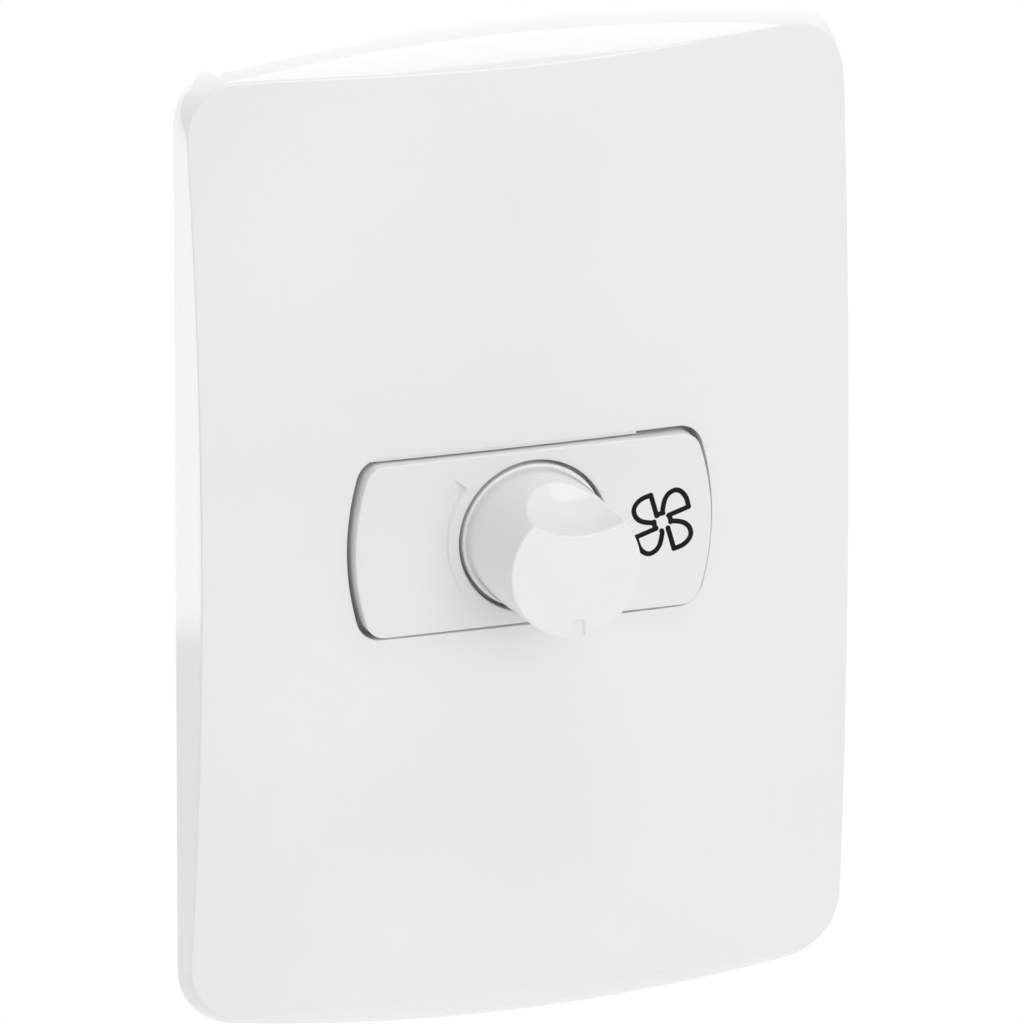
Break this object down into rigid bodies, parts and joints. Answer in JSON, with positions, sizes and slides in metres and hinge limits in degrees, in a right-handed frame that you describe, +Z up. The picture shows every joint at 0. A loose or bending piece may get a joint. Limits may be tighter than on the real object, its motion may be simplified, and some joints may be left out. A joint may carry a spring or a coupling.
{
  "type": "fan speed control switch",
  "caption": "Wall-mounted rotary fan speed control: a domed white plate with a horizontal module and a turned knob with a finger scoop",
  "frame": {"origin": "centre of the two mounting screws, in the wall plane, on the knob's axis", "axes": "+Z up, front facing -Y, +X to the right seen from the front"},
  "size_m": [0.0804, 0.056, 0.12],
  "materials": {
    "plate_white": "moulded, polished",
    "module_white": "moulded, semi-gloss",
    "knob_white": "moulded, polished",
    "spring_steel": "rolled",
    "aluminium": "turned or rolled",
    "brass": "machined",
    "zinc_steel": "zinc plated",
    "phenolic": "pressed laminate",
    "black_plastic": "moulded",
    "tinned_brass": "tinned",
    "frame_plastic": "moulded",
    "housing_plastic": "moulded",
    "board_laminate": "paper laminate",
    "resistor_lacquer": "lacquered",
    "diode_glass": "glass",
    "capacitor_yellow": "moulded box",
    "capacitor_red": "dipped",
    "iron_powder": "painted iron powder",
    "enamelled_copper": "enamelled wire"
  },
  "bodies": {
    "root": {"cover_plate": "plate_white", "front_insert": "module_white", "pot_bushing": "brass", "pot_washer": "zinc_steel", "pot_nut": "zinc_steel", "pot_case": "zinc_steel", "resistor_wafer": "phenolic", "pot_terminals": "tinned_brass", "switch_case": "black_plastic", "switch_terminals": "tinned_brass", "support_frame": "frame_plastic", "mounting_screws": "zinc_steel", "rear_housing": "housing_plastic", "circuit_board": "board_laminate", "resistors": "resistor_lacquer", "diac": "diode_glass", "fuse": "black_plastic", "film_capacitor": "capacitor_yellow", "timing_capacitor": "capacitor_red", "choke_core": "iron_powder", "choke_winding": "enamelled_copper", "triac": "black_plastic", "heat_sink": "aluminium", "triac_screw": "zinc_steel", "terminal_posts": "brass", "terminal_screws": "zinc_steel"},
    "knob": {"knob": "knob_white", "knob_spring": "spring_steel", "pot_shaft": "aluminium", "retaining_ring": "spring_steel", "wiper": "black_plastic"}
  },
  "joints": [
    {"name": "knob_turn", "type": "hinge", "parent": "root", "child": "knob", "pos_m": [0, 0, 0], "axis": [0, 1, 0], "range_deg": [0, 300]}
  ]
}
